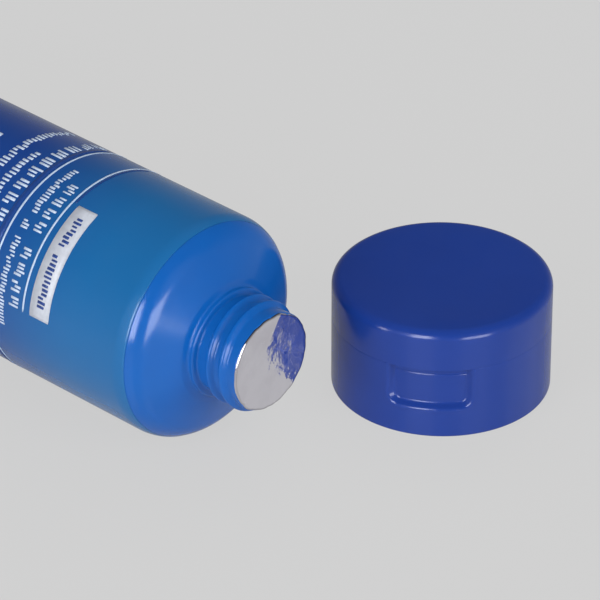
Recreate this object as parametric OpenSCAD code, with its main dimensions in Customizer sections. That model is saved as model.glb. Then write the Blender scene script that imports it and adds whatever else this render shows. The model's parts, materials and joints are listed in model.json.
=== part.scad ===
// Plastic squeeze tube lying on its side, with its flip-top screw cap standing beside it.
// +Z is up and z = 0 is the table. The tube's axis runs along X, with the neck towards +X.
// The origin is on the table, under the middle of the whole: half way along it and half way across it.

/* [Tube] */
// Diameter of the filled sleeve
tube_d = 50; // [49:0.5:51]
// Wall of the sleeve
sleeve_wall = 0.5; // [0.4:0.05:0.6]
// Distance from the mouth to the sleeve's front edge
sleeve_front = 19; // [18.8:0.1:19.2]
// Length of the sleeve that stays round
round_length = 80; // [60:5:100]
// Length of the taper from the round part to the crimp
taper_length = 64; // [50:2:80]
// Length of the flat crimp at the tail
crimp_length = 7; // [5:1:10]
// Thickness of the crimp
crimp_thickness = 1.2; // [1:0.1:1.6]

/* [Shoulder and neck] */
// Radius that rounds the shoulder into the sleeve
shoulder_round = 7; // [6.5:0.5:7.5]
// Wall of the shoulder and the neck
neck_wall = 1.6; // [1.4:0.1:1.8]
// Length of the neck above the shoulder
neck_length = 12; // [11.8:0.1:12.2]
// Outside radius of the plain neck
neck_r = 10.9; // [10.8:0.1:11]
// Radius over the neck's thread
thread_r = 12; // [11.8:0.1:12]
// Pitch of the thread
thread_pitch = 3.6; // [3.4:0.1:3.8]
// Radius of the foil seal
foil_r = 10.5; // [10.3:0.1:10.7]
// Thickness of the foil seal
foil_thickness = 0.15; // [0.1:0.05:0.2]

/* [Cap] */
// Where the cap stands, along the tube, in front of the neck's mouth
cap_x = 3.6; // [0:0.2:8]
// Where the cap stands, across the tube, from the tube's axis
cap_y = 49.3; // [49.3:0.1:60]
// Outside diameter of the cap
cap_d = 47.3; // [47:0.1:47.4]
// Height of the closed cap
cap_h = 25.8; // [25.4:0.1:27]
// Height of the parting line between the base and the lid
parting_h = 16.4; // [16.3:0.1:16.6]
// Wall of the base's skirt and of the lid
cap_wall = 1.5; // [1.4:0.1:1.6]
// Radius of the lid's top edge
lid_round = 1.6; // [1.2:0.1:2]
// Direction in which the thumb recess faces
recess_angle = -54.5; // [-60:0.5:-50]
// Width of the thumb recess
recess_width = 18; // [16:0.5:19]
// Height of the thumb recess's lower edge
recess_bottom = 6.8; // [6:0.2:8]
// Radius of the hole that the product leaves through
orifice_r = 1.9; // [1.8:0.1:2.2]
// Direction in which the cap's thread starts, so that it runs between the neck's turns when the cap is on
cap_thread_start = 129; // [125:1:133]

/* [Hidden] */

$fn = 96;
hull_fn = 32;
eps = 0.01;
tube_r = tube_d / 2;
fit_gap = 0.05;
// How far a hull's ends stay inside the solids that they run into, and how thick those ends are.
hull_inset = 0.05;
hull_end = 1;

// The crimp is half the sleeve's girth wide, and its lower corner rests on the table.
crimp_width = PI * tube_r;
crimp_tilt = asin((tube_r - crimp_thickness / 2) / (crimp_width / 2));
corner_x = sleeve_front + 3;
taper_x = corner_x + round_length;
tail_x = taper_x + taper_length;

// The middle of the whole, from the point on the table straight below the mouth.
low_x = -tail_x - crimp_length;
low_y = -(crimp_width * cos(crimp_tilt) + crimp_thickness * sin(crimp_tilt)) / 2;
middle_x = (low_x + cap_x + cap_d / 2) / 2;
middle_y = (low_y + cap_y + cap_d / 2) / 2;

lip_x = foil_thickness;
lip_r = neck_r + 0.25;
lip_length = 0.9;
collar_r = neck_r + 1.7;
collar_step = 0.4;
collar_length = 1.2;
sleeve_step = 0.35;
shoulder_skirt = 8;
shoulder_skirt_wall = 1;
thread_root_depth = 0.3;
thread_turns = 2.2;
thread_steps = 24;
thread_foot = 1.05;
thread_tip = 0.35;
// Shares of the thread: how high its ends stand, and how many steps of a turn they take to rise.
thread_end_height = 0.1;
thread_end_steps = thread_steps / 6;
neck_thread_x = neck_length - 2.2;

// The tube moves forward over the product as the cap is screwed on, and the product keeps clear of it.
screw_travel = 12;
product_gap = 0.4;
product_tail_gap = 13;
air_gap = 14;

cap_r = cap_d / 2;
skirt_r = cap_r - cap_wall;
lid_gap = 0.1;
deck_bottom = 14.9;
deck_top = parting_h + 0.9;
deck_r = skirt_r - 0.35;
pocket_top = 16.15;
socket_r = 12.4;
socket_wall = 1.5;
socket_bottom = 7.9;
cap_thread_r = 11.3;
cap_thread_z = 9.4;
cap_thread_turns = 1.5;
boss_r = 9;
boss_top = 19;
insert_flange_r = 6.5;
insert_flange_h = 1.2;
insert_r = 4;
insert_top = 20.6;
insert_bottom = 16.2;
running_gap = 0.1;
plug_r = 1.2;
plug_bottom = 19.2;
// The ring under the lid goes round the nozzle and reaches this far down past its top.
lid_ring_gap = 1;
lid_ring_wall = 1;
lid_ring_overlap = 0.6;
lid_under = cap_h - cap_wall;
recess_plane = sqrt(cap_r * cap_r - recess_width * recess_width / 4);
recess_corner = 3;
recess_pad = 1.5;

hinge_angle = recess_angle + 180;
hinge_bead_r = 0.45;
hinge_bead_length = 5;
hinge_bead_spacing = 8;
hinge_bead_sink = 0.1;
hinge_relief = 0.15;
hinge_x = cap_r + 0.2;
hinge_z = parting_h + lid_gap / 2;

sleeve_colour = [0.10, 0.33, 0.62];
shoulder_colour = [0.07, 0.33, 0.70];
foil_colour = [0.75, 0.75, 0.78];
product_colour = [0.92, 0.95, 0.97];
insert_colour = [0.80, 0.86, 0.94];
cap_colour = [0.10, 0.18, 0.55];

// Local +Z becomes +X, on the tube's axis.
module on_tube_axis() {
    translate([-middle_x, -middle_y, tube_r]) rotate([0, 90, 0]) children();
}

// Local +Z stays up, and local +X points in the given direction from the cap's middle.
module on_cap_axis(direction = 0) {
    translate([cap_x - middle_x, cap_y - middle_y, 0]) rotate([0, 0, direction]) children();
}

module ring(outer, inner, bottom, top) {
    translate([0, 0, bottom]) difference() {
        cylinder(r = outer, h = top - bottom);
        translate([0, 0, -eps]) cylinder(r = inner, h = top - bottom + 2 * eps);
    }
}

// Cross-section of a helical ridge at one step; the crest sinks into the foot at both ends.
function ridge_section(i, steps, foot_r, crest_r, pitch, start) =
    let (
        turn = 360 * i / thread_steps,
        rise = min(1, min(i, steps - i) / thread_end_steps),
        crest = foot_r + (crest_r - foot_r) * (thread_end_height + (1 - thread_end_height) * rise),
        z = pitch * turn / 360,
        a = start + turn
    )
    [
        [foot_r * cos(a), foot_r * sin(a), z - thread_foot],
        [crest * cos(a), crest * sin(a), z - thread_tip],
        [crest * cos(a), crest * sin(a), z + thread_tip],
        [foot_r * cos(a), foot_r * sin(a), z + thread_foot]
    ];

// Right-handed ridge from foot_r out or in to crest_r, with its middle at z = 0 where it starts.
module ridge(foot_r, crest_r, pitch, turns, start) {
    steps = round(turns * thread_steps);
    sections = [for (i = [0:steps]) ridge_section(i, steps, foot_r, crest_r, pitch, start)];
    points = [for (s = sections) each s];
    outward = crest_r > foot_r;
    sides = [
        for (i = [0:steps - 1])
            for (k = [0:3])
                let (a = 4 * i + k, b = 4 * i + (k + 1) % 4)
                    outward ? [a, b, b + 4, a + 4] : [a + 4, b + 4, b, a]
    ];
    last = 4 * steps;
    ends = outward
        ? [[3, 2, 1, 0], [last, last + 1, last + 2, last + 3]]
        : [[0, 1, 2, 3], [last + 3, last + 2, last + 1, last]];
    polyhedron(points = points, faces = concat(sides, ends), convexity = 4);
}

// Angle between the axis and the normal of the shoulder's cone, which just touches the rounding.
function cone_normal() =
    let (dr = tube_r - shoulder_round - collar_r, dx = corner_x - neck_length)
    acos(shoulder_round / sqrt(dr * dr + dx * dx)) - atan2(dr, dx);

// Radius against distance along the axis: rounded into the sleeve, then a cone down to the neck.
module shoulder_profile(inset) {
    arc_r = shoulder_round - inset;
    slope = cone_normal();
    union() {
        intersection() {
            translate([tube_r - shoulder_round, -corner_x]) circle(r = arc_r);
            translate([0, -corner_x]) square([tube_r, shoulder_round]);
        }
        polygon([
            [0, -corner_x],
            [tube_r - shoulder_round, -corner_x],
            [tube_r - shoulder_round + arc_r * sin(slope), -corner_x + arc_r * cos(slope)],
            [collar_r - inset * sin(slope), -neck_length - inset * cos(slope)],
            [0, -neck_length - inset * cos(slope)]
        ]);
    }
}

module tube_slice(r, x, thickness) {
    translate([0, 0, -x]) cylinder(r = r, h = thickness, $fn = 2 * hull_fn);
}

// Flat slab across the tube, from the given distance behind the mouth towards the tail.
module crimp_slab(width, thickness, front, length) {
    rotate([0, 0, crimp_tilt])
        translate([-thickness / 2, -width / 2, -front - length])
            cube([thickness, width, length]);
}

// Radius against distance along the axis: the shoulder's profile with the round part of the tube behind it.
module sleeve_profile(inset) {
    union() {
        shoulder_profile(inset);
        translate([0, -taper_x]) square([tube_r - inset, round_length]);
    }
}

module tube_sleeve() {
    color(sleeve_colour) on_tube_axis() difference() {
        union() {
            rotate_extrude() difference() {
                sleeve_profile(0);
                translate([0, -sleeve_front]) square([tube_d, sleeve_front]);
            }
            hull() {
                tube_slice(tube_r - hull_inset, taper_x, hull_end / 2);
                crimp_slab(
                    crimp_width - 2 * hull_inset, crimp_thickness - 2 * hull_inset,
                    tail_x + hull_end, hull_end
                );
            }
            crimp_slab(crimp_width, crimp_thickness, tail_x, crimp_length);
        }
        rotate_extrude() sleeve_profile(sleeve_wall);
        hull() {
            tube_slice(tube_r - sleeve_wall - hull_inset, taper_x, hull_end / 2);
            crimp_slab(
                crimp_width - 2 * sleeve_wall, crimp_thickness / 4,
                tail_x - 2 * hull_end, hull_end
            );
        }
    }
}

module shoulder_neck() {
    skirt_top = corner_x + shoulder_skirt;
    skirt_length = shoulder_skirt + eps;
    outer_r = tube_r - sleeve_wall - fit_gap;
    // The neck and its collar run this far into the shoulder.
    root = 1;
    bore_root = 3;
    color(shoulder_colour) on_tube_axis() {
        difference() {
            union() {
                translate([0, 0, -skirt_top]) cylinder(r = outer_r, h = skirt_length);
                rotate_extrude() shoulder_profile(sleeve_wall + fit_gap);
                intersection() {
                    rotate_extrude() shoulder_profile(sleeve_step);
                    translate([0, 0, -sleeve_front + fit_gap]) cylinder(r = tube_r, h = sleeve_front);
                }
                translate([0, 0, -neck_length - root])
                    cylinder(r = collar_r - collar_step, h = root + collar_length);
                translate([0, 0, -neck_length - root])
                    cylinder(r = neck_r, h = neck_length + root - lip_x - eps);
                translate([0, 0, -lip_x - lip_length]) cylinder(r = lip_r, h = lip_length);
            }
            translate([0, 0, -skirt_top - eps])
                cylinder(r = outer_r - shoulder_skirt_wall, h = skirt_length + eps);
            rotate_extrude() shoulder_profile(sleeve_wall + neck_wall);
            translate([0, 0, -neck_length - bore_root])
                cylinder(r = neck_r - neck_wall, h = neck_length + bore_root + eps);
        }
        translate([0, 0, -neck_thread_x])
            ridge(neck_r - thread_root_depth, thread_r, thread_pitch, thread_turns, 0);
    }
}

module foil_seal() {
    color(foil_colour) on_tube_axis()
        translate([0, 0, -foil_thickness + eps]) cylinder(r = foil_r, h = foil_thickness - eps);
}

module product_fill() {
    body_r = tube_r - sleeve_wall - fit_gap - shoulder_skirt_wall - product_gap;
    nose_r = neck_r - neck_wall - product_gap;
    round_end = taper_x - screw_travel;
    tail_end = tail_x - air_gap - screw_travel;
    color(product_colour) on_tube_axis() {
        rotate_extrude() shoulder_profile(sleeve_wall + neck_wall + product_gap);
        translate([0, 0, -corner_x - eps])
            cylinder(r = nose_r, h = corner_x + eps - foil_thickness - product_gap);
        translate([0, 0, -round_end]) cylinder(r = body_r, h = round_end - corner_x - product_gap);
        translate([0, 0, -corner_x - 2 * product_gap])
            cylinder(r = body_r - product_gap, h = 2 * product_gap + eps);
        hull() {
            tube_slice(body_r - product_gap, round_end, hull_end);
            crimp_slab(crimp_width - 2 * product_tail_gap, hull_end, tail_end, hull_end);
        }
    }
}

module orifice_insert() {
    color(insert_colour) on_cap_axis() difference() {
        union() {
            translate([0, 0, insert_bottom]) cylinder(r = insert_flange_r, h = insert_flange_h);
            translate([0, 0, insert_bottom]) cylinder(r = insert_r, h = insert_top - insert_bottom);
        }
        translate([0, 0, insert_bottom - 1]) cylinder(r = orifice_r, h = insert_top);
    }
}

// Outline of the thumb recess, seen from in front of it, with its lower corners rounded.
module recess_outline() {
    tall = parting_h - recess_bottom + eps;
    half = recess_width / 2;
    inner = half - recess_corner;
    left = [for (a = [180:15:270]) [-inner + recess_corner * cos(a), recess_corner + recess_corner * sin(a)]];
    right = [for (a = [270:15:360]) [inner + recess_corner * cos(a), recess_corner + recess_corner * sin(a)]];
    polygon(concat(left, right, [[half, tall], [-half, tall]]));
}

module cap_base() {
    color(cap_colour) on_cap_axis() {
        difference() {
            union() {
                ring(cap_r, skirt_r, 0, parting_h);
                ring(skirt_r + eps, socket_r, deck_bottom, parting_h);
                ring(deck_r, socket_r - eps, parting_h - 1, deck_top);
                ring(socket_r + socket_wall, socket_r, socket_bottom, deck_bottom + eps);
                translate([0, 0, pocket_top]) cylinder(r = socket_r + 1, h = deck_top - pocket_top);
                translate([0, 0, pocket_top]) cylinder(r = boss_r, h = boss_top - pocket_top);
                rotate([0, 0, recess_angle]) intersection() {
                    translate([recess_plane - recess_pad, -recess_width / 2, recess_bottom - 1])
                        cube([recess_pad + 1, recess_width, deck_bottom - recess_bottom + 1 + eps]);
                    cylinder(r = cap_r - eps, h = parting_h);
                }
            }
            translate([0, 0, insert_bottom - 1])
                cylinder(r = insert_flange_r + running_gap, h = 1 + insert_flange_h + running_gap);
            translate([0, 0, insert_bottom]) cylinder(r = insert_r + running_gap, h = boss_top);
            rotate([0, 0, recess_angle])
                translate([recess_plane, 0, recess_bottom])
                    rotate([90, 0, 90]) linear_extrude(height = cap_r) recess_outline();
            rotate([0, 0, hinge_angle])
                hinge_line(hinge_bead_r - hinge_bead_sink, hinge_bead_spacing + hinge_bead_length);
        }
        translate([0, 0, cap_thread_z])
            ridge(
                socket_r + thread_root_depth, cap_thread_r, thread_pitch,
                cap_thread_turns, cap_thread_start
            );
    }
}

module lid_profile() {
    union() {
        square([cap_r - lid_round, cap_h]);
        square([cap_r, cap_h - lid_round]);
        translate([cap_r - lid_round, cap_h - lid_round]) circle(r = lid_round);
    }
}

module cap_lid() {
    lid_bottom = parting_h + lid_gap;
    color(cap_colour) on_cap_axis() {
        difference() {
            rotate_extrude() difference() {
                lid_profile();
                square([cap_r + 1, lid_bottom]);
                square([skirt_r, lid_under]);
            }
            rotate([0, 0, hinge_angle])
                hinge_line(hinge_bead_r + hinge_relief, hinge_bead_spacing + hinge_bead_length + 1);
        }
        translate([0, 0, plug_bottom]) cylinder(r = plug_r, h = lid_under - plug_bottom + eps);
        ring(
            insert_r + lid_ring_gap + lid_ring_wall, insert_r + lid_ring_gap,
            insert_top - lid_ring_overlap, lid_under + eps
        );
    }
}

module hinge_line(r, length) {
    translate([hinge_x, length / 2, hinge_z]) rotate([90, 0, 0]) cylinder(r = r, h = length);
}

module living_hinge() {
    color(cap_colour) on_cap_axis(hinge_angle)
        for (side = [-1, 1])
            translate([0, side * hinge_bead_spacing / 2, 0]) hinge_line(hinge_bead_r, hinge_bead_length);
}

tube_sleeve();
shoulder_neck();
foil_seal();
product_fill();
orifice_insert();
cap_base();
cap_lid();
living_hinge();
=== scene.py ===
"""Visual model of a plastic squeeze tube that lies beside its flip-top cap, built over the CAD frame."""
import json
import math
import random

import bmesh
import bpy
from mathutils import Matrix, Vector, noise


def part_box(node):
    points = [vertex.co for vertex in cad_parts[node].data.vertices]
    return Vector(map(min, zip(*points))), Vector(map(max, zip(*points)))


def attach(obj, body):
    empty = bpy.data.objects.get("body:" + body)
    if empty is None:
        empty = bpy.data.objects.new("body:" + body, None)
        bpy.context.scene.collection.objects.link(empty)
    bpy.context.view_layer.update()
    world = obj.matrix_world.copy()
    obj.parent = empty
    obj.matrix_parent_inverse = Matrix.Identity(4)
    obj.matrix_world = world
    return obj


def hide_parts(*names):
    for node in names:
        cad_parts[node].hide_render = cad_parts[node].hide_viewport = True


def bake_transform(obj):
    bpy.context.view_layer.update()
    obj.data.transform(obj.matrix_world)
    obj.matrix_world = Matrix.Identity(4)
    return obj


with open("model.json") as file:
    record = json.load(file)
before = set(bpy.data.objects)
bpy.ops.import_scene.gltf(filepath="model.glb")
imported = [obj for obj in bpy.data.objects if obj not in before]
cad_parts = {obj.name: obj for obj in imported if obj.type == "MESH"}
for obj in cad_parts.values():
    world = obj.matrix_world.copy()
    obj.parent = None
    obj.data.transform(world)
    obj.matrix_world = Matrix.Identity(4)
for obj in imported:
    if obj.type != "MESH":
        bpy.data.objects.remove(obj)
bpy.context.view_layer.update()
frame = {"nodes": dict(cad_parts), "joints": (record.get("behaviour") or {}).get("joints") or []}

MM = 0.001
TAU = 2 * math.pi

# ---- places and sizes, from the frame ----------------------------------------------------------

sleeve_low, sleeve_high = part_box("tube_sleeve")
neck_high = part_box("shoulder_neck")[1]
foil_low, foil_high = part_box("foil_seal")
lid_low, lid_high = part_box("cap_lid")
base_low, base_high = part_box("cap_base")
insert_low, insert_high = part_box("orifice_insert")

CAP_X = (base_low.x + base_high.x) / 2
CAP_Y = (base_low.y + base_high.y) / 2
CAP_R = (base_high.x - base_low.x) / 2
CAP_TOP = lid_high.z
# The base ends just under the lid.
PARTING = lid_low.z - 0.01 * MM
TUBE_R = sleeve_high.z / 2
FOIL_R = (foil_high.y - foil_low.y) / 2

# The tube is built with its mouth's middle at x = y = 0, and moved from there to its place.
MOUTH = Vector((foil_high.x, (foil_low.y + foil_high.y) / 2, 0))
AXIS_Z = TUBE_R
TAIL_X = sleeve_low.x - MOUTH.x
SLEEVE_FRONT = sleeve_high.x - MOUTH.x
LIP_X = neck_high.x - MOUTH.x
FOIL_X = foil_low.x - MOUTH.x

lid_joint = next(j for j in frame["joints"] if j["name"] == "lid_flip")
HINGE_ANGLE = math.atan2(lid_joint["pos_m"][1] - CAP_Y, lid_joint["pos_m"][0] - CAP_X)
HINGE_AXIS = Vector(lid_joint["axis"])
HINGE_AT = Vector(lid_joint["pos_m"])
RECESS_ANGLE = HINGE_ANGLE - math.pi

# The frame doesn't name these: they repeat the CAD source's own sizes.
SLEEVE_OVERLAP = 3 * MM
ROUND_LENGTH = 80 * MM
CRIMP_LENGTH = 7 * MM
CRIMP_THICKNESS = 1.2 * MM
SLEEVE_WALL = 0.5 * MM
SHOULDER_ROUND = 7 * MM
NECK_BASE_X = -12 * MM
NECK_R = 10.9 * MM
NECK_WALL = 1.6 * MM
COLLAR_R = 12.6 * MM
THREAD_R = 12 * MM
THREAD_PITCH = 3.6 * MM
THREAD_START_X = -9.8 * MM
THREAD_TURNS = 2.2
CAP_WALL = 1.5 * MM
DECK_TOP = PARTING + 0.9 * MM

CORNER_X = SLEEVE_FRONT - SLEEVE_OVERLAP
TAPER_X = CORNER_X - ROUND_LENGTH
CRIMP_X = TAIL_X + CRIMP_LENGTH
# The crimp is half the girth wide, and is turned until its lower edge lies on the table.
CRIMP_TILT = math.asin((TUBE_R - CRIMP_THICKNESS / 2) / (math.pi * TUBE_R / 2))

# Lengths and radii below this count as nothing.
TINY = 1e-9


# ---- mesh helpers -------------------------------------------------------------------------------

def new_object(name, vertices, faces, smooth=True):
    mesh = bpy.data.meshes.new(name)
    mesh.from_pydata([tuple(v) for v in vertices], [], faces)
    mesh.validate()
    if smooth:
        mesh.polygons.foreach_set("use_smooth", [True] * len(mesh.polygons))
    piece = bpy.data.objects.new(name, mesh)
    bpy.context.scene.collection.objects.link(piece)
    return piece


def outward(piece):
    """Turns every face of a closed mesh outwards."""
    work = bmesh.new()
    work.from_mesh(piece.data)
    bmesh.ops.recalc_face_normals(work, faces=work.faces)
    work.to_mesh(piece.data)
    work.free()
    return piece


def smoothstep(low, high, value):
    t = min(1.0, max(0.0, (value - low) / (high - low)))
    return t * t * (3 - 2 * t)


def angle_between(a, b):
    """Signed difference a - b, from -pi to pi."""
    return (a - b + math.pi) % TAU - math.pi


def rounded(corners, steps=5):
    """Closed outline through (x, y, radius) corners, each corner replaced by an arc of that radius."""
    # An arc takes at most this share of the edge on either side of it.
    most = 0.49
    outline = []
    count = len(corners)
    for i, (x, y, radius) in enumerate(corners):
        here = Vector((x, y))
        before = Vector(corners[i - 1][:2]) - here
        after = Vector(corners[(i + 1) % count][:2]) - here
        if radius <= 0 or before.length < TINY or after.length < TINY:
            outline.append((x, y))
            continue
        half = before.angle(after) / 2
        reach = min(radius / math.tan(half), before.length * most, after.length * most)
        middle = here + (before.normalized() + after.normalized()).normalized() * (reach / math.cos(half))
        first = here + before.normalized() * reach - middle
        last = here + after.normalized() * reach - middle
        sweep = first.angle_signed(last)
        for k in range(steps + 1):
            turned = first.copy()
            turned.rotate(Matrix.Rotation(-sweep * k / steps, 2))
            outline.append(tuple(middle + turned))
    return outline


def revolve(name, outline, segments, reshape=None):
    """Closed (radius, height) outline turned round the cap's axis. A point on the axis becomes one pole."""
    on_axis = 1e-7
    vertices, rings, faces = [], [], []
    for radius, height in outline:
        if radius < on_axis:
            rings.append([len(vertices)] * segments)
            vertices.append((CAP_X, CAP_Y, height))
            continue
        ring = []
        for s in range(segments):
            angle = TAU * s / segments
            r = reshape(radius, height, angle) if reshape else radius
            ring.append(len(vertices))
            vertices.append((r * math.cos(angle) + CAP_X, r * math.sin(angle) + CAP_Y, height))
        rings.append(ring)
    count = len(rings)
    for i in range(count):
        a, b = rings[i], rings[(i + 1) % count]
        if a[0] == a[1] and b[0] == b[1]:
            continue
        for s in range(segments):
            t = (s + 1) % segments
            corners = list(dict.fromkeys((a[s], a[t], b[t], b[s])))
            if len(corners) > 2:
                faces.append(corners)
    return outward(new_object(name, vertices, faces))


def band_faces(a, b, segments):
    """Faces between two rings of points, which start at a and b."""
    faces = []
    for s in range(segments):
        t = (s + 1) % segments
        faces.append((a + s, a + t, b + t, b + s))
    return faces


def slab_faces(base, long, wide):
    """Faces of a closed slab: two layers of (long + 1) rows of (wide + 1) points, from the point base on."""
    row = wide + 1
    layer = (long + 1) * row
    faces = []
    for i in range(long):
        for k in range(wide):
            a = base + i * row + k
            b = a + row
            faces.append((a, a + 1, b + 1, b))
            faces.append((a + layer, b + layer, b + 1 + layer, a + 1 + layer))
    for i in range(long):
        for k in (0, wide):
            a = base + i * row + k
            faces.append((a, a + row, a + row + layer, a + layer))
    for i in (0, long):
        for k in range(wide):
            a = base + i * row + k
            faces.append((a, a + 1, a + 1 + layer, a + layer))
    return faces


def finish_piece(piece, body, slot, look, *nodes):
    """Gives a piece its look and body, hides the CAD nodes that it stands in for, and moves the tube's pieces
    into place. The slot is not used.
    """
    if body in ("tube", "seal"):
        piece.data.transform(Matrix.Translation(MOUTH))
    piece.data.materials.clear()
    piece.data.materials.append(look)
    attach(piece, body)
    if nodes:
        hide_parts(*nodes)
    return piece


# ---- materials ----------------------------------------------------------------------------------

class Look:
    """Small builder for one node material, with its Principled shader in self.shader."""

    def __init__(self, name):
        self.material = bpy.data.materials.new(name)
        self.material.use_nodes = True
        self.tree = self.material.node_tree
        self.shader = next(n for n in self.tree.nodes if n.type == "BSDF_PRINCIPLED")
        self.local = self.tree.nodes.new("ShaderNodeTexCoord").outputs["Object"]

    def node(self, kind, **settings):
        made = self.tree.nodes.new(kind)
        for key, value in settings.items():
            setattr(made, key, value)
        return made

    def link(self, source, target):
        self.tree.links.new(source, target)

    def set(self, **values):
        for key, value in values.items():
            self.shader.inputs[key.replace("_", " ")].default_value = value

    def noise(self, scale, detail=4.0, roughness=0.5):
        made = self.node("ShaderNodeTexNoise")
        made.inputs["Scale"].default_value = scale
        made.inputs["Detail"].default_value = detail
        made.inputs["Roughness"].default_value = roughness
        self.link(self.local, made.inputs["Vector"])
        return made.outputs["Fac"]

    def remap(self, source, low, high, to_low, to_high, smooth=True):
        made = self.node("ShaderNodeMapRange")
        if smooth:
            made.interpolation_type = "SMOOTHSTEP"
        for key, value in (("From Min", low), ("From Max", high), ("To Min", to_low), ("To Max", to_high)):
            made.inputs[key].default_value = value
        self.link(source, made.inputs["Value"])
        return made.outputs["Result"]

    def mix(self, factor, first, second):
        """Colour from first to second by a factor socket."""
        made = self.node("ShaderNodeMix", data_type="RGBA")
        colour_inputs = [i for i in made.inputs if i.type == "RGBA"]
        for socket, colour in zip(colour_inputs, (first, second)):
            socket.default_value = (*colour, 1)
        self.link(factor, next(i for i in made.inputs if i.type == "VALUE"))
        return next(o for o in made.outputs if o.type == "RGBA")

    def axis(self, name):
        split = self.node("ShaderNodeSeparateXYZ")
        self.link(self.local, split.inputs["Vector"])
        return split.outputs[name]

    def bump(self, source, strength, distance):
        made = self.node("ShaderNodeBump")
        made.inputs["Strength"].default_value = strength
        made.inputs["Distance"].default_value = distance
        self.link(source, made.inputs["Height"])
        self.link(made.outputs["Normal"], self.shader.inputs["Normal"])


def moulded_plastic(name, colour, deep, roughness, coat=0.0):
    """Glossy moulded plastic: slight pigment drift, uneven gloss and the faint orange peel of the mould."""
    look = Look(name)
    drift = look.remap(look.noise(35, 3), 0.35, 0.65, 0.0, 1.0)
    look.link(look.mix(drift, colour, deep), look.shader.inputs["Base Color"])
    gloss = look.remap(look.noise(260, 5, 0.6), 0.3, 0.7, roughness * 0.88, roughness * 1.15)
    look.link(gloss, look.shader.inputs["Roughness"])
    look.bump(look.noise(420, 2), 0.10, 0.02 * MM)
    look.set(IOR=1.5, Coat_Weight=coat, Coat_Roughness=0.08)
    return look.material


def sleeve_plastic():
    """Printed polyethylene sleeve: royal blue under the print, fading to teal blue by the shoulder."""
    look = Look("sleeve_plastic")
    fade = look.remap(look.axis("X"), MOUTH.x - 74 * MM, MOUTH.x - 30 * MM, 0.0, 1.0)
    patchy = look.remap(look.noise(18, 2), 0.3, 0.7, -0.05, 0.05, smooth=False)
    both = look.node("ShaderNodeMath", operation="ADD", use_clamp=True)
    look.link(fade, both.inputs[0])
    look.link(patchy, both.inputs[1])
    royal = (0.008, 0.048, 0.240)
    teal = (0.008, 0.118, 0.325)
    body = look.mix(both.outputs[0], royal, teal)
    look.link(body, look.shader.inputs["Base Color"])
    gloss = look.remap(look.noise(180, 5, 0.6), 0.3, 0.7, 0.20, 0.27)
    look.link(gloss, look.shader.inputs["Roughness"])
    stretch = look.node("ShaderNodeMapping")
    stretch.inputs["Scale"].default_value = (0.12, 1, 1)
    look.link(look.local, stretch.inputs["Vector"])
    draw = look.node("ShaderNodeTexNoise")
    draw.inputs["Scale"].default_value = 320
    look.link(stretch.outputs["Vector"], draw.inputs["Vector"])
    look.bump(draw.outputs["Fac"], 0.10, 0.02 * MM)
    look.set(IOR=1.5, Coat_Weight=0.25, Coat_Roughness=0.12)
    return look.material


# Past a line across the foil its surface falls away with this slope, in this direction.
FOIL_TILT = 0.092
FOIL_CREASE = Vector((0, 0.85, -0.53))


def foil_metal():
    """Thin aluminium foil: bright, with soft dents and one half turned a little off the other."""
    look = Look("foil_metal")
    dull = look.remap(look.noise(140, 4), 0.35, 0.7, 0.0, 1.0)
    look.link(look.mix(dull, (0.92, 0.90, 0.97), (0.83, 0.81, 0.88)), look.shader.inputs["Base Color"])
    look.link(look.remap(look.noise(300, 3), 0.3, 0.7, 0.08, 0.16), look.shader.inputs["Roughness"])
    across = look.node("ShaderNodeVectorMath", operation="DOT_PRODUCT")
    look.link(look.local, across.inputs[0])
    across.inputs[1].default_value = FOIL_CREASE
    start = FOIL_CREASE.dot(MOUTH + Vector((0, 0, AXIS_Z))) - 3.0 * MM
    end = start + 2 * FOIL_R
    turned = look.remap(across.outputs["Value"], start, end, 0.0, -2 * FOIL_TILT * FOIL_R, smooth=False)
    dents = look.remap(look.noise(230, 3), 0.0, 1.0, 0.0, 0.17 * MM, smooth=False)
    height = look.node("ShaderNodeMath", operation="ADD")
    look.link(turned, height.inputs[0])
    look.link(dents, height.inputs[1])
    look.bump(height.outputs[0], 1.0, 1.0)
    look.set(Metallic=1.0)
    return look.material


def ink(name, colour):
    """Screen-printed ink, with the faint mottle of its film."""
    look = Look(name)
    mottle = look.remap(look.noise(900, 3), 0.3, 0.7, 0.0, 1.0)
    darker = tuple(c * 0.90 for c in colour)
    look.link(look.mix(mottle, colour, darker), look.shader.inputs["Base Color"])
    look.bump(look.noise(1500, 2), 0.08, 0.01 * MM)
    look.set(Roughness=0.3)
    return look.material


def cream():
    """Matte cream with a fine grain."""
    look = Look("cream")
    colour = (0.88, 0.91, 0.93)
    cells = look.remap(look.noise(200, 6, 0.7), 0.3, 0.7, 0.0, 1.0)
    darker = tuple(c * 0.85 for c in colour)
    look.link(look.mix(cells, colour, darker), look.shader.inputs["Base Color"])
    look.bump(look.noise(400, 4), 0.4, 0.05 * MM)
    look.set(Roughness=0.4, Subsurface_Weight=0.2, Subsurface_Radius=(0.002, 0.002, 0.002))
    return look.material


SLEEVE_LOOK = sleeve_plastic()
SHOULDER_LOOK = moulded_plastic("shoulder_plastic", (0.003, 0.100, 0.400), (0.004, 0.092, 0.375), 0.20, 0.1)
CAP_LOOK = moulded_plastic("cap_plastic", (0.011, 0.041, 0.252), (0.010, 0.038, 0.238), 0.20, 0.1)
INSERT_LOOK = moulded_plastic("insert_plastic", (0.55, 0.68, 0.86), (0.50, 0.64, 0.84), 0.3)
FOIL_LOOK = foil_metal()
WHITE_INK = ink("white_ink", (0.50, 0.53, 0.60))
PALE_INK = ink("pale_ink", (0.50, 0.62, 0.80))
TEXT_INK = ink("text_ink", (0.52, 0.62, 0.78))
BAND_INK = ink("band_ink", (0.012, 0.052, 0.230))
BLUE_INK = ink("blue_ink", (0.020, 0.055, 0.240))
CREAM_LOOK = cream()


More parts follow.
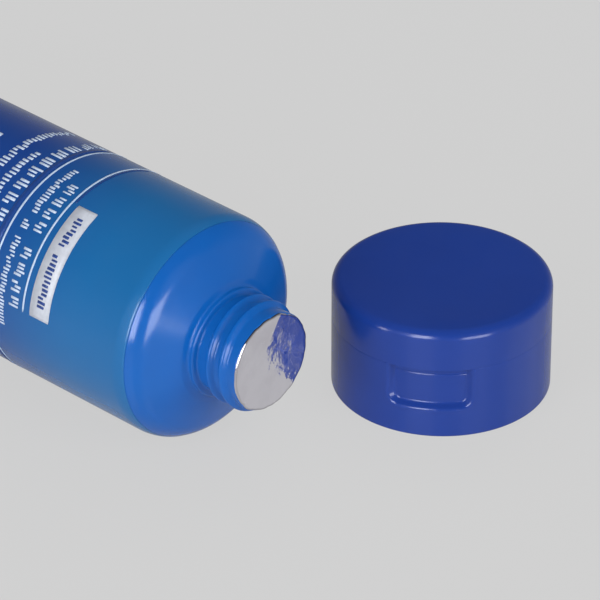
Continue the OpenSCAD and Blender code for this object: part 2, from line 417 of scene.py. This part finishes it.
# ---- tube ---------------------------------------------------------------------------------------

def shoulder_radius(x):
    """Outer radius of the shoulder at a distance along the axis, from the sleeve's front to the neck."""
    centre_r = TUBE_R - SHOULDER_ROUND
    dr = centre_r - COLLAR_R
    dx = NECK_BASE_X - CORNER_X
    slope = math.acos(SHOULDER_ROUND / math.hypot(dr, dx)) - math.atan2(dr, dx)
    tangent_x = CORNER_X + SHOULDER_ROUND * math.cos(slope)
    if x <= tangent_x:
        return centre_r + math.sqrt(max(0.0, SHOULDER_ROUND ** 2 - (x - CORNER_X) ** 2))
    tangent_r = centre_r + SHOULDER_ROUND * math.sin(slope)
    return tangent_r + (COLLAR_R - tangent_r) * (x - tangent_x) / (NECK_BASE_X - tangent_x)


def stadium_point(share, across, half_width):
    """Point at a share of a stadium's girth. Its ends have the radius across; half_width is half its flat."""
    girth = TAU * across + 4 * half_width
    s = (share % 1.0) * girth
    quarter = math.pi * across / 2
    if s < quarter:
        a = s / across if across > TINY else 0.0
        return half_width + across * math.cos(a), across * math.sin(a)
    s -= quarter
    if s < 2 * half_width:
        return half_width - s, across
    s -= 2 * half_width
    if s < 2 * quarter:
        a = math.pi / 2 + (s / across if across > TINY else 0.0)
        return -half_width + across * math.cos(a), across * math.sin(a)
    s -= 2 * quarter
    if s < 2 * half_width:
        return -half_width + s, -across
    s -= 2 * half_width
    a = -math.pi / 2 + (s / across if across > TINY else 0.0)
    return half_width + across * math.cos(a), across * math.sin(a)


def eased(share):
    """Starts gently and then runs straight, so that the round part flows into the taper."""
    soft = 0.22
    if share < soft:
        return share * share / (2 * soft) / (1 - soft / 2)
    return (share - soft / 2) / (1 - soft / 2)


def sleeve_section(x, share, inset):
    """Point of the sleeve's section at x. The girth stays the same as the circle flattens into the crimp."""
    if x > CORNER_X:
        across, half_width = shoulder_radius(x) - inset, 0.0
    else:
        flat = eased(min(1.0, max(0.0, (TAPER_X - x) / (TAPER_X - CRIMP_X))))
        end_r = CRIMP_THICKNESS / 2
        least = end_r if inset == 0 else 0.15 * MM
        across = max((1 - flat) * TUBE_R, least) - inset * (1 - flat)
        half_width = flat * (math.pi * TUBE_R / 2 - end_r - inset)
    u, v = stadium_point(share, across, half_width)
    if x < CRIMP_X and inset == 0:
        rib_height, rib_pitch = 0.10 * MM, 1.6 * MM
        v += rib_height * math.cos(TAU * u / rib_pitch) * (1 if v > 0 else -1)
    y = u * math.cos(CRIMP_TILT) - v * math.sin(CRIMP_TILT)
    z = u * math.sin(CRIMP_TILT) + v * math.cos(CRIMP_TILT)
    return x, y, z + AXIS_Z


def spread(low, high, count):
    return [low + (high - low) * i / count for i in range(count + 1)]


def tube_sleeve():
    """One closed skin: out along the outside from the tail, over the front edge and back along the inside."""
    segments = 360
    stations = [(x, 0.0) for x in spread(TAIL_X, CRIMP_X - 0.2 * MM, 6)]
    stations += [(x, 0.0) for x in spread(CRIMP_X, TAPER_X, 60)]
    stations += [(x, 0.0) for x in spread(TAPER_X, CORNER_X, 40)[1:]]
    stations += [(x, 0.0) for x in spread(CORNER_X, SLEEVE_FRONT - 0.12 * MM, 10)[1:]]
    stations += [(SLEEVE_FRONT - 0.05 * MM, 0.02 * MM), (SLEEVE_FRONT, 0.06 * MM)]
    stations += [(SLEEVE_FRONT, SLEEVE_WALL)]
    stations += [(x, SLEEVE_WALL) for x in spread(SLEEVE_FRONT, CORNER_X, 6)[1:]]
    stations += [(x, SLEEVE_WALL) for x in spread(CORNER_X, TAPER_X, 10)[1:]]
    stations += [(x, SLEEVE_WALL) for x in spread(TAPER_X, CRIMP_X + 1 * MM, 20)[1:]]
    vertices = [sleeve_section(x, s / segments, inset) for x, inset in stations for s in range(segments)]
    faces = []
    for i in range(len(stations) - 1):
        faces += band_faces(i * segments, (i + 1) * segments, segments)
    faces.append(tuple(range(segments)))
    last = (len(stations) - 1) * segments
    faces.append(tuple(last + s for s in range(segments)))
    piece = outward(new_object("sleeve_skin", vertices, faces))
    return finish_piece(piece, "tube", "sleeve", SLEEVE_LOOK, "tube_sleeve")


def thread_height(x, angle):
    """How far the neck's thread stands up, from 0 to 1, at a place on the neck."""
    turn = (angle + math.pi / 2) / TAU
    fade_in = 0.12
    best = 0.0
    for k in range(-1, 5):
        along = turn + k
        if 0 <= along <= THREAD_TURNS:
            off = abs(x - (THREAD_START_X + THREAD_PITCH * along))
            fade = min(1.0, along / fade_in, (THREAD_TURNS - along) / fade_in)
            best = max(best, fade * smoothstep(1.3 * MM, 0.10 * MM, off))
    return best


def smooth_band(x, low, high, edge):
    return smoothstep(low - edge, low + edge, x) * (1 - smoothstep(high - edge, high + edge, x))


def neck_surface(x, angle):
    """Outer radius of the shoulder and neck at a place on them."""
    step = 0.05 * MM
    if x < NECK_BASE_X - 0.6 * MM:
        return shoulder_radius(x) - step
    collar = smooth_band(x, NECK_BASE_X - 1 * MM, NECK_BASE_X + 1.0 * MM, 0.3 * MM)
    foot = shoulder_radius(min(x, NECK_BASE_X)) - step
    plain = NECK_R + (COLLAR_R - 0.4 * MM - NECK_R) * collar
    blend = smoothstep(NECK_BASE_X - 0.6 * MM, NECK_BASE_X + 0.1 * MM, x)
    radius = foot + (plain - foot) * blend
    return radius + (THREAD_R - NECK_R) * thread_height(x, angle)


def shoulder_neck():
    """Shoulder, collar and threaded neck in one moulding, with its bore."""
    segments = 240
    bore = NECK_R - NECK_WALL
    # (x, radius) round the wall; where the radius is None, it follows the surface.
    outer = [(x, None) for x in spread(CORNER_X - 8 * MM, CORNER_X, 3)]
    outer += [(x, None) for x in spread(CORNER_X, SLEEVE_FRONT - 0.1 * MM, 6)[1:]]
    outer += [(x, None) for x in spread(SLEEVE_FRONT + 0.004 * MM, NECK_BASE_X - 0.7 * MM, 30)]
    outer += [(x, None) for x in spread(NECK_BASE_X - 0.6 * MM, LIP_X - 0.35 * MM, 84)]
    outer += [
        (LIP_X - 0.25 * MM, NECK_R - 0.06 * MM),
        (LIP_X - 0.12 * MM, NECK_R - 0.25 * MM),
        (LIP_X - 0.02 * MM, NECK_R - 0.55 * MM),
        (LIP_X - 0.02 * MM, bore + 0.2 * MM),
        (LIP_X - 0.2 * MM, bore),
        (NECK_BASE_X - 1.5 * MM, bore),
        (NECK_BASE_X - 2.5 * MM, bore + 1.5 * MM),
        (CORNER_X + 4 * MM, TUBE_R - 6 * MM),
        (CORNER_X, TUBE_R - 2.3 * MM),
        (CORNER_X - 8 * MM, TUBE_R - 2 * MM),
    ]
    vertices, faces = [], []
    for x, fixed in outer:
        for s in range(segments):
            angle = TAU * s / segments
            if fixed is not None:
                radius = fixed
            elif x <= SLEEVE_FRONT:
                radius = (shoulder_radius(x) if x > CORNER_X else TUBE_R) - SLEEVE_WALL - 0.05 * MM
            else:
                radius = neck_surface(x, angle)
            vertices.append((x, radius * math.cos(angle), AXIS_Z + radius * math.sin(angle)))
    count = len(outer)
    for i in range(count):
        faces += band_faces(i * segments, ((i + 1) % count) * segments, segments)
    piece = outward(new_object("shoulder_and_neck", vertices, faces))
    return finish_piece(piece, "tube", "shoulder", SHOULDER_LOOK, "shoulder_neck")


def foil_seal():
    """Crinkled foil disc with an uneven, slightly turned-down rim and one crease across it."""
    rings, segments = 44, 180
    middle_x = FOIL_X / 2
    thickness = 0.05 * MM

    def face_point(r_share, angle, side):
        rim = 0.25 * MM * noise.noise(Vector((math.cos(angle) * 5, math.sin(angle) * 5, 1.7)))
        radius = r_share * (FOIL_R + 0.32 * MM + rim * smoothstep(0.8, 1.0, r_share))
        y, z = radius * math.cos(angle), radius * math.sin(angle)
        at = Vector((y / MM, z / MM, 3.1))
        wave = 0.030 * MM * noise.noise(at * 0.28) + 0.012 * MM * noise.noise(at * 0.9)
        crease = 0.030 * MM * math.exp(-((y * 0.55 + z * 0.83 - 3.2 * MM) / (0.5 * MM)) ** 2)
        crimp = smoothstep(0.88, 1.0, r_share) * 0.05 * MM * noise.noise(Vector((angle * 9, 4.2, 0.5)))
        turned_down = 0.22 * MM * smoothstep(0.955, 1.0, r_share)
        x = middle_x + wave - crease + crimp - turned_down + side * thickness / 2
        return (x, y, AXIS_Z + z)

    vertices, faces = [], []
    starts = []
    for side in (1, -1):
        starts.append(len(vertices))
        vertices.append(face_point(0.0, 0.0, side))
        for i in range(1, rings + 1):
            for s in range(segments):
                vertices.append(face_point(i / rings, TAU * s / segments, side))
    for start in starts:
        for s in range(segments):
            t = (s + 1) % segments
            faces.append((start, start + 1 + s, start + 1 + t))
            for i in range(rings - 1):
                a, b = start + 1 + i * segments, start + 1 + (i + 1) * segments
                faces.append((a + s, b + s, b + t, a + t))
    front, back = (start + 1 + (rings - 1) * segments for start in starts)
    for s in range(segments):
        t = (s + 1) % segments
        faces.append((front + s, back + s, back + t, front + t))
    piece = outward(new_object("foil_disc", vertices, faces))
    return finish_piece(piece, "seal", "foil", FOIL_LOOK, "foil_seal")


# ---- print on the sleeve ------------------------------------------------------------------------

INK_LIFT = 0.04 * MM
INK_THICKNESS = 0.03 * MM


def wrap_patch(vertices, faces, x_middle, width, start, end, lift, corner):
    """Adds a closed rounded bar of print, wrapped on the round part of the sleeve, to vertices and faces."""
    arc_length = (end - start) * TUBE_R
    reach = min(width, arc_length) * corner
    columns = max(2, int(arc_length / (0.8 * MM)))
    rows = 2
    base = len(vertices)
    for level in (lift + INK_THICKNESS, lift - INK_THICKNESS):
        for i in range(columns + 1):
            along = -arc_length / 2 + arc_length * i / columns
            into_end = max(0.0, abs(along) - (arc_length / 2 - reach))
            pull = reach - math.sqrt(max(0.0, reach ** 2 - into_end ** 2))
            half = width / 2 - pull
            angle = (start + end) / 2 + along / TUBE_R
            for k in range(rows + 1):
                x = x_middle - half + 2 * half * k / rows
                r = TUBE_R + level
                vertices.append((x, r * math.cos(angle), AXIS_Z + r * math.sin(angle)))
    faces += slab_faces(base, columns, rows)


def print_piece(name, bars, look, corner, lift=INK_LIFT):
    """One piece of print from (x, width, first angle, last angle) bars."""
    vertices, faces = [], []
    for x_middle, width, start, end in bars:
        wrap_patch(vertices, faces, x_middle, width, start, end, lift, corner)
    piece = outward(new_object(name, vertices, faces))
    return finish_piece(piece, "tube", "sleeve", look)


def greeked_row(x_middle, height, pitch, seed, *words):
    """A row of dummy text. Each word, from its first to its last degree, is a run of upright strokes."""
    dice = random.Random(seed)
    bars = []
    for start_deg, end_deg in words:
        start, end = math.radians(start_deg), math.radians(end_deg)
        count = max(1, round((end - start) * TUBE_R / pitch))
        step = (end - start) / count
        for k in range(count):
            tall = height * dice.uniform(0.55, 1.0)
            wide = step * dice.uniform(0.45, 0.68)
            middle = start + step * (k + 0.5)
            drop = (height - tall) / 2 * dice.choice((-1, 0, 1))
            bars.append((x_middle + drop, tall, middle - wide / 2, middle + wide / 2))
    return bars


def label_print():
    """A pale panel, two rules, two darker bands and rows of dummy text. Every x is from the mouth."""
    panel = [(-43.4 * MM, 5.7 * MM, math.radians(112.3), math.radians(172.7))]
    print_piece("label_panel", panel, WHITE_INK, 0.02)
    in_panel = greeked_row(-43.3 * MM, 2.3 * MM, 0.95 * MM, 3, (118, 135), (139, 167))
    print_piece("label_panel_text", in_panel, BLUE_INK, 0.08, INK_LIFT + 2.2 * INK_THICKNESS)
    rules = [
        (-48.2 * MM, 0.45 * MM, math.radians(48), math.radians(173)),
        (-58.3 * MM, 0.45 * MM, math.radians(48), math.radians(238)),
    ]
    print_piece("label_rules", rules, PALE_INK, 0.4)
    # x, height and stroke pitch in mm, seed, and the first and last degree of each word
    squares = [(at, at + 7) for at in range(58, 220, 9)]
    rows = []
    for x, height, pitch, seed, words in (
        (-51.1, 2.8, 0.85, 11, ((103, 110), (112, 118), (120, 126), (128, 134))),
        (-51.1, 2.8, 0.85, 17, ((142, 148), (150, 157), (159, 165), (167, 173))),
        (-54.8, 2.0, 0.80, 12, ((94, 126), (130, 135), (139, 186))),
        (-62.1, 3.3, 0.95, 13, squares),
        (-66.4, 2.3, 1.05, 14, ((94, 140), (145, 205))),
        (-70.6, 2.3, 1.05, 15, ((60, 112), (117, 150), (155, 215))),
        (-79.5, 6.5, 2.6, 16, ((92, 130), (136, 196))),
    ):
        rows += greeked_row(x * MM, height * MM, pitch * MM, seed, *words)
    print_piece("label_text", rows, TEXT_INK, 0.08)
    bands = [
        (-47.4 * MM, 0.5 * MM, math.radians(60), math.radians(112)),
        (-59.6 * MM, 1.3 * MM, math.radians(60), math.radians(230)),
    ]
    print_piece("label_bands", bands, BAND_INK, 0.3)


# ---- cap ----------------------------------------------------------------------------------------

RECESS_HALF = math.asin(9.0 * MM / CAP_R)
RECESS_BOTTOM = 6.9 * MM
RECESS_DEPTH = 1.7 * MM


def recess_push(radius, height, angle):
    """Moves the skirt's outside inwards over the thumb recess, with soft edges."""
    if radius < CAP_R - 1.0 * MM or height < 1 * MM:
        return radius
    off = abs(angle_between(angle, RECESS_ANGLE)) * CAP_R
    half = RECESS_HALF * CAP_R
    low = RECESS_BOTTOM
    corner = 2.6 * MM
    dx = off - (half - corner)
    dz = (low + corner) - height
    if dx > 0 and dz > 0:
        distance = corner - math.hypot(dx, dz)
    else:
        distance = min(half - off, height - low)
    lip = smoothstep(-0.1 * MM, 1.1 * MM, distance)
    bead = 0.10 * MM * math.exp(-((distance + 0.5 * MM) / (0.45 * MM)) ** 2)
    scoop = 0.75 + 0.25 * smoothstep(low, PARTING, height)
    return radius + bead - RECESS_DEPTH * lip * scoop


def cap_base():
    """Skirt, deck with the nozzle's collar, and the threadless socket under it."""
    skirt = CAP_R - CAP_WALL
    deck_r = skirt - 0.35 * MM
    deck_under = 14.9 * MM
    collar_r, collar_top = 9.0 * MM, 19.0 * MM
    nozzle_hole_r = 4.1 * MM
    flange_r, flange_top = 6.6 * MM, 17.5 * MM
    socket_r, socket_wall_r = 12.4 * MM, 13.9 * MM
    socket_top, socket_bottom = 16.15 * MM, 7.9 * MM
    wall = [(CAP_R, z, 0) for z in spread(0.8 * MM, PARTING - 0.5 * MM, 60)]
    corners = [(skirt, 0, 0.3 * MM), (CAP_R - 0.02 * MM, 0, 0.45 * MM)] + wall
    corners += [
        (CAP_R, PARTING, 0.02 * MM),
        (deck_r, PARTING, 0.1 * MM),
        (deck_r, DECK_TOP, 0.3 * MM),
        (collar_r, DECK_TOP, 0.5 * MM),
        (collar_r, collar_top, 0.5 * MM),
        (nozzle_hole_r, collar_top, 0.2 * MM),
        (nozzle_hole_r, flange_top, 0),
        (flange_r, flange_top, 0),
        (flange_r, socket_top, 0.1 * MM),
        (socket_r, socket_top, 0.3 * MM),
        (socket_r, socket_bottom, 0.3 * MM),
        (socket_wall_r, socket_bottom, 0.3 * MM),
        (socket_wall_r, deck_under, 0.5 * MM),
        (skirt, deck_under, 0.6 * MM),
        (skirt, 5.0 * MM, 0),
    ]
    piece = revolve("cap_base_moulding", rounded(corners), 360, recess_push)
    return finish_piece(piece, "base", "cap", CAP_LOOK, "cap_base")


def cap_lid():
    """Lid with a slightly dished top, and with the plug and its ring underneath."""
    bottom = lid_low.z
    skirt = CAP_R - CAP_WALL
    under = CAP_TOP - CAP_WALL
    dish, dish_edge = 0.35 * MM, 0.88
    plug_r, plug_bottom = 1.2 * MM, 19.2 * MM
    ring_inner_r, ring_outer_r, ring_bottom = 5.0 * MM, 6.0 * MM, 20.0 * MM
    dished = []
    for share in (0.8, 0.7, 0.6, 0.45, 0.3, 0.15):
        dished.append((share * CAP_R, CAP_TOP - dish * (1 - (share / dish_edge) ** 2), 0))
    corners = [
        (CAP_R, bottom, 0.02 * MM),
        (CAP_R, CAP_TOP, 2.1 * MM),
        *dished,
        (0, CAP_TOP - dish, 0),
        (0, plug_bottom, 0),
        (plug_r, plug_bottom, 0.5 * MM),
        (plug_r, under, 0.3 * MM),
        (ring_inner_r, under, 0.2 * MM),
        (ring_inner_r, ring_bottom, 0.2 * MM),
        (ring_outer_r, ring_bottom, 0.3 * MM),
        (ring_outer_r, under, 0.3 * MM),
        (skirt, under, 0.6 * MM),
        (skirt, bottom, 0.15 * MM),
    ]
    piece = revolve("cap_lid_moulding", rounded(corners, 8), 256)
    return finish_piece(piece, "lid", "cap", CAP_LOOK, "cap_lid")


def hinge_straps():
    """Two thin webs that join the lid to the base, thinnest halfway between them."""
    across = HINGE_AXIS.normalized()
    out = Vector((math.cos(HINGE_ANGLE), math.sin(HINGE_ANGLE), 0))
    reach = 1.6 * MM
    for name, side in (("hinge_strap_left", -1), ("hinge_strap_right", 1)):
        middle = HINGE_AT + across * side * 4 * MM
        vertices = []
        columns, levels = 10, 24
        for face_side in (0.0, 1.0):
            for k in range(levels + 1):
                height = -reach + 2 * reach * k / levels
                thin = 1 - 0.55 * math.exp(-(height / (0.35 * MM)) ** 2)
                for c in range(columns + 1):
                    along = (c / columns - 0.5) * 5 * MM
                    depth = -0.30 * MM + face_side * 0.40 * MM * thin
                    vertices.append(middle + across * along + out * depth + Vector((0, 0, height)))
        piece = outward(new_object(name, vertices, slab_faces(0, levels, columns)))
        piece.data.materials.append(CAP_LOOK)
        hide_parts("living_hinge")
        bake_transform(piece)


def orifice_insert():
    """Nozzle with its flange and a straight hole."""
    bottom, top = insert_low.z, insert_high.z
    hole_r, nozzle_r = 1.9 * MM, 4.0 * MM
    flange_r, flange_top = 6.5 * MM, 17.4 * MM
    corners = [
        (hole_r, bottom, 0.2 * MM),
        (flange_r, bottom, 0.2 * MM),
        (flange_r, flange_top, 0.2 * MM),
        (nozzle_r, flange_top, 0),
        (nozzle_r, top, 0.6 * MM),
        (hole_r, top, 0.4 * MM),
    ]
    piece = revolve("orifice_nozzle", rounded(corners, 6), 96)
    return finish_piece(piece, "insert", "insert", INSERT_LOOK, "orifice_insert")


def product():
    """The cream keeps its CAD mesh and only gets its look."""
    fill = frame["nodes"]["product_fill"]
    fill.data.materials.clear()
    fill.data.materials.append(CREAM_LOOK)


# ---- studio -------------------------------------------------------------------------------------

CAMERA_AT = MOUTH + Vector((0.57175, -0.60163, 0.55095))
CAMERA_YAW = math.radians(-46.87)
CAMERA_RISE = math.radians(31.61)
CAMERA_LENS = 284.5
LIT_SPOT = Vector((CAP_X - 10 * MM, CAP_Y - 20 * MM, 15 * MM))
LAMP_DISTANCE = 0.9
# Linear grey that the paper and the air behind it show to the camera.
PAPER = 0.618
# How much of the paper's look is that even grey; the rest is shaded.
PAPER_SHARE = 0.93
# Strength of the air for diffuse light.
FILL = 0.50


def studio():
    """Pale floor, broad lamps and reflectors. Each turn is from the camera's yaw; angles are in radians."""
    half = 6
    corners = [(-half, -half, 0), (half, -half, 0), (half, half, 0), (-half, half, 0)]
    floor = new_object("studio_floor", corners, [(0, 1, 2, 3)], False)
    floor.visible_glossy = False
    floor.data.materials.append(studio_paper())
    bpy.context.scene.world = studio_air()

    # name, turn, rise, power
    for name, turn, rise, power in (
        ("left_light", -0.75, 0.32, 5.4),
        ("right_light", 0.80, 0.40, 4.6),
        ("back_light", 2.9, 0.9, 1.5),
    ):
        shaping_light(name, CAMERA_YAW + turn, rise, LAMP_DISTANCE, power)
    # name, turn, width, lowest and highest rise, strength
    for name, turn, width, low, high, strength in (
        ("left_strip", -0.36, 0.34, 0.02, 0.58, 8.5),
        ("right_strip", 0.57, 0.46, -0.16, 0.24, 6.0),
        ("left_glow", -0.40, 0.50, -1.1, -0.20, 0.55),
        ("right_glow", 0.60, 0.50, -1.1, -0.20, 0.50),
        ("foil_card", 1.64, 0.75, -1.0, -0.15, 0.48),
    ):
        reflector(name, CAMERA_YAW + turn, width, low, high, strength)


def studio_paper():
    """Pale paper that looks evenly lit to the camera, with only a hint of shadow."""
    look = Look("studio_paper")
    look.set(Base_Color=(0.85, 0.85, 0.85, 1), Roughness=0.9)
    even = look.node("ShaderNodeEmission")
    even.inputs["Color"].default_value = (PAPER, PAPER, PAPER, 1)
    seen = look.node("ShaderNodeLightPath").outputs["Is Camera Ray"]
    share = look.node("ShaderNodeMath", operation="MULTIPLY")
    share.inputs[1].default_value = PAPER_SHARE
    look.link(seen, share.inputs[0])
    blend = look.node("ShaderNodeMixShader")
    look.link(share.outputs[0], blend.inputs["Fac"])
    look.link(look.shader.outputs["BSDF"], blend.inputs[1])
    look.link(even.outputs["Emission"], blend.inputs[2])
    output = next(n for n in look.tree.nodes if n.type == "OUTPUT_MATERIAL")
    look.link(blend.outputs["Shader"], output.inputs["Surface"])
    return look.material


def studio_air():
    """The paper's grey for the camera and an even fill for diffuse light; as a reflection, a gradient."""
    world = bpy.data.worlds.new("studio_air")
    world.use_nodes = True
    tree = world.node_tree
    background = next(n for n in tree.nodes if n.type == "BACKGROUND")
    split = tree.nodes.new("ShaderNodeSeparateXYZ")
    tree.links.new(tree.nodes.new("ShaderNodeNewGeometry").outputs["Incoming"], split.inputs["Vector"])
    level = tree.nodes.new("ShaderNodeMapRange")
    for key, value in (("From Min", -0.55), ("From Max", 0.3), ("To Min", 0.03), ("To Max", 0.36)):
        level.inputs[key].default_value = value
    tree.links.new(split.outputs["Z"], level.inputs["Value"])
    path = tree.nodes.new("ShaderNodeLightPath")
    strength = level.outputs["Result"]
    for kind, value in (("Is Diffuse Ray", FILL), ("Is Camera Ray", PAPER)):
        pick = tree.nodes.new("ShaderNodeMix")
        tree.links.new(path.outputs[kind], pick.inputs[0])
        tree.links.new(strength, pick.inputs[2])
        pick.inputs[3].default_value = value
        strength = pick.outputs[0]
    tree.links.new(strength, background.inputs["Strength"])
    background.inputs["Color"].default_value = (1, 1, 1, 1)
    return world


def direction(yaw, rise):
    """Unit vector towards a yaw, measured from +X, and a rise above the table."""
    return Vector((math.cos(rise) * math.cos(yaw), math.cos(rise) * math.sin(yaw), math.sin(rise)))


def shaping_light(name, yaw, rise, distance, power):
    """Broad lamp that shapes the forms but isn't mirrored in the plastic."""
    light = bpy.data.lights.new(name, "AREA")
    light.shape = "DISK"
    light.size = 0.7
    light.energy = power
    lamp = bpy.data.objects.new(name, light)
    lamp.location = LIT_SPOT + direction(yaw, rise) * distance
    lamp.rotation_mode = "QUATERNION"
    lamp.rotation_quaternion = direction(yaw, rise).to_track_quat("Z", "Y")
    lamp.visible_glossy = False
    bpy.context.scene.collection.objects.link(lamp)


def reflector(name, yaw, width, low, high, strength):
    """Curved panel that shows only as a reflection. Angles are in radians, seen from the object."""
    distance = 1.6
    columns, rows = 12, 8
    vertices = []
    for i in range(columns + 1):
        for k in range(rows + 1):
            turn = yaw + width * (i / columns - 0.5)
            vertices.append(LIT_SPOT + direction(turn, low + (high - low) * k / rows) * distance)
    faces = []
    for i in range(columns):
        for k in range(rows):
            a = i * (rows + 1) + k
            faces.append((a, a + rows + 1, a + rows + 2, a + 1))
    panel = new_object(name, vertices, faces)
    look = Look(name)
    glow = look.node("ShaderNodeEmission")
    glow.inputs["Strength"].default_value = strength
    output = next(n for n in look.tree.nodes if n.type == "OUTPUT_MATERIAL")
    look.link(glow.outputs["Emission"], output.inputs["Surface"])
    look.material.cycles.emission_sampling = "NONE"
    panel.data.materials.append(look.material)
    panel.visible_camera = False
    panel.visible_diffuse = False
    panel.visible_shadow = False
    panel.visible_transmission = False


def camera():
    data = bpy.data.cameras.new("camera")
    data.lens = CAMERA_LENS
    data.sensor_width = 36
    made = bpy.data.objects.new("camera", data)
    made.location = CAMERA_AT
    made.rotation_mode = "QUATERNION"
    made.rotation_quaternion = (-direction(CAMERA_YAW, CAMERA_RISE)).to_track_quat("-Z", "Y")
    bpy.context.scene.collection.objects.link(made)
    bpy.context.scene.camera = made


tube_sleeve()
shoulder_neck()
foil_seal()
label_print()
cap_base()
cap_lid()
hinge_straps()
orifice_insert()
product()
studio()
camera()
bpy.context.scene.view_settings.view_transform = "Standard"
